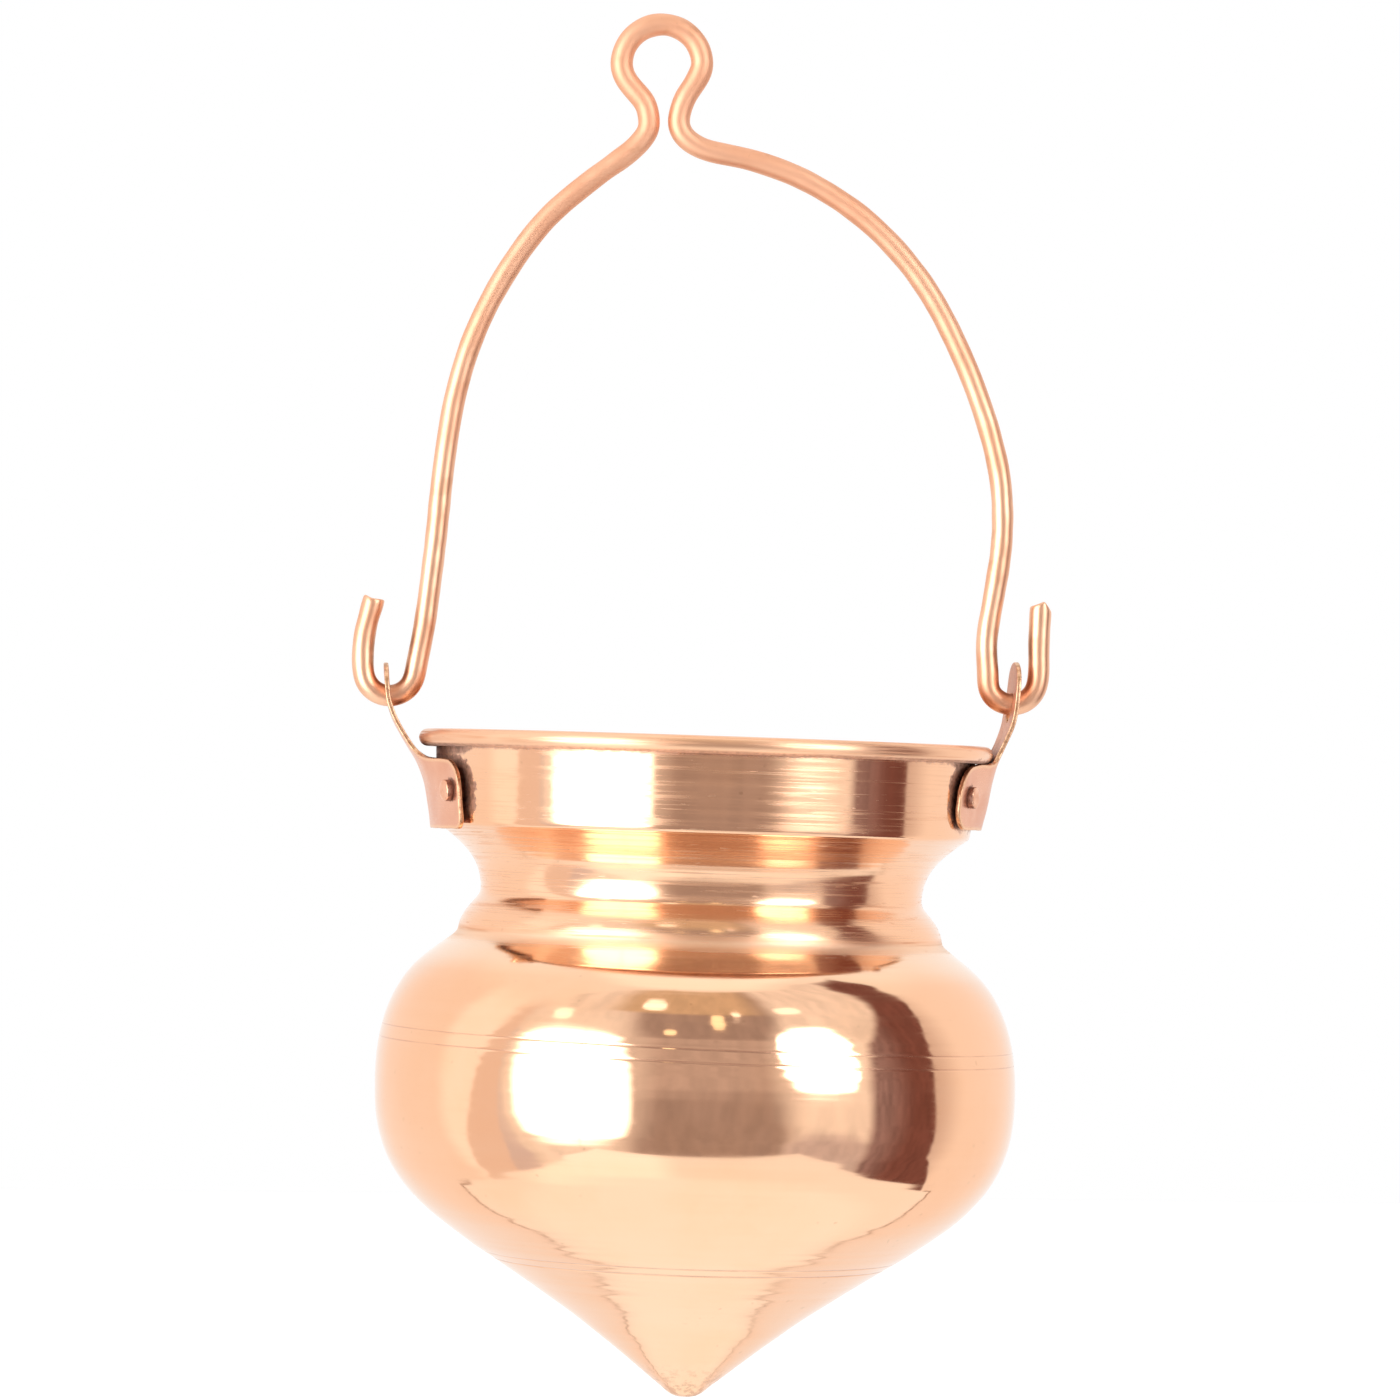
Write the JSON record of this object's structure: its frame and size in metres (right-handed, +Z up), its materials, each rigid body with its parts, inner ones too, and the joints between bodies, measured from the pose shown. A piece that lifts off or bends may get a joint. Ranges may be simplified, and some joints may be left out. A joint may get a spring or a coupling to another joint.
{
  "type": "hanging drip pot",
  "caption": "Spun copper pot with a cone-shaped drip nose, hooked by two riveted ears onto a bent wire bail with a hanging loop.",
  "frame": {"origin": "the hanging point: the inner top of the bail's wire loop", "axes": "+Z up, against gravity; +X along the line through both hook seats, the axis that the vessel swings about, towards the ear that the picture shows on the right; -Y towards the viewer"},
  "size_m": [0.1387, 0.1268, 0.2743],
  "materials": {
    "vessel_copper": "spun and polished copper with fine turning marks",
    "ear_copper": "hand-cut copper sheet, brushed, tarnished beside the collar",
    "rivet_copper": "hammered copper rivets, tarnished round their heads",
    "wire_copper": "drawn copper wire, satin, lightly spotted"
  },
  "bodies": {
    "bail": {"bail": "wire_copper"},
    "vessel": {"vessel_body": "vessel_copper", "ear_left": "ear_copper", "ear_right": "ear_copper", "rivet_left_front": "rivet_copper", "rivet_left_back": "rivet_copper", "rivet_right_front": "rivet_copper", "rivet_right_back": "rivet_copper"}
  },
  "joints": [
    {"name": "vessel_swing", "type": "hinge", "parent": "bail", "child": "vessel", "pos_m": [0.0095, 0, -0.13185], "axis": [1, 0, 0], "range_deg": [-107, 107]}
  ]
}
